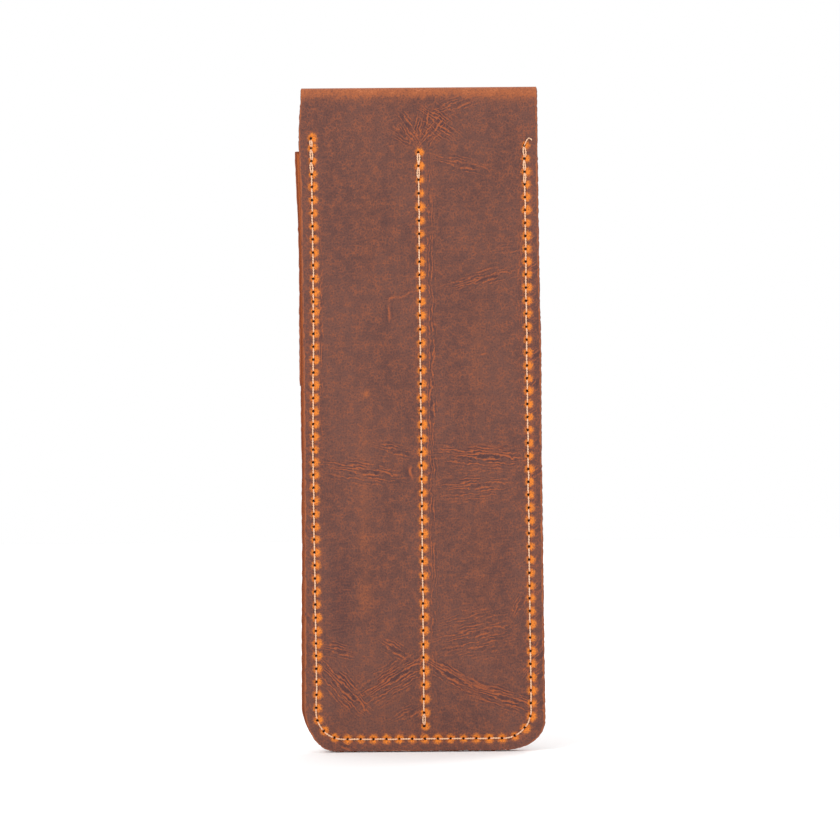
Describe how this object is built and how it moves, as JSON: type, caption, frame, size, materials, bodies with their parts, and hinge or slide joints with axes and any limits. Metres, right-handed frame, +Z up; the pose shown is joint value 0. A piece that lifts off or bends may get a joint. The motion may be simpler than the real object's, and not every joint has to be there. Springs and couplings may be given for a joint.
{
  "type": "fountain pen case",
  "caption": "Flat-backed leather sleeve with formed pen pockets side by side, and a fold-over flap whose tongue tucks under a strap.",
  "frame": {"origin": "centre of the case's flat back face", "axes": "+Z up towards the fold, -Y out of the back face, +X to the right seen from behind the case"},
  "size_m": [0.0606, 0.0188, 0.166],
  "materials": {
    "brown_leather": "oiled pull-up",
    "peach_thread": "waxed polyester"
  },
  "bodies": {
    "case": {"back_panel": "brown_leather", "front_panel": "brown_leather", "retaining_strap": "brown_leather", "outline_needle_thread": "peach_thread", "outline_bobbin_thread": "peach_thread", "centre_needle_thread": "peach_thread", "centre_bobbin_thread": "peach_thread"},
    "flap_upper": {"flap_upper": "brown_leather"},
    "flap_lower": {"flap_lower": "brown_leather", "flap_tongue": "brown_leather"}
  },
  "joints": [
    {"name": "flap_open", "type": "hinge", "parent": "case", "child": "flap_upper", "pos_m": [0, 0.00139, 0.08278], "axis": [1, 0, 0], "range_deg": [0, 130], "stiffness_Nm_per_rad": 0.25, "deforming": ["flap_tongue"]},
    {"name": "flap_shoulder_bend", "type": "hinge", "parent": "flap_upper", "child": "flap_lower", "pos_m": [0, 0.01644, 0.07122], "axis": [1, 0, 0], "range_deg": [0, 50]}
  ],
  "couplings": [
    {"joint": "flap_shoulder_bend", "follows": "flap_open", "ratio": 0.38461}
  ]
}
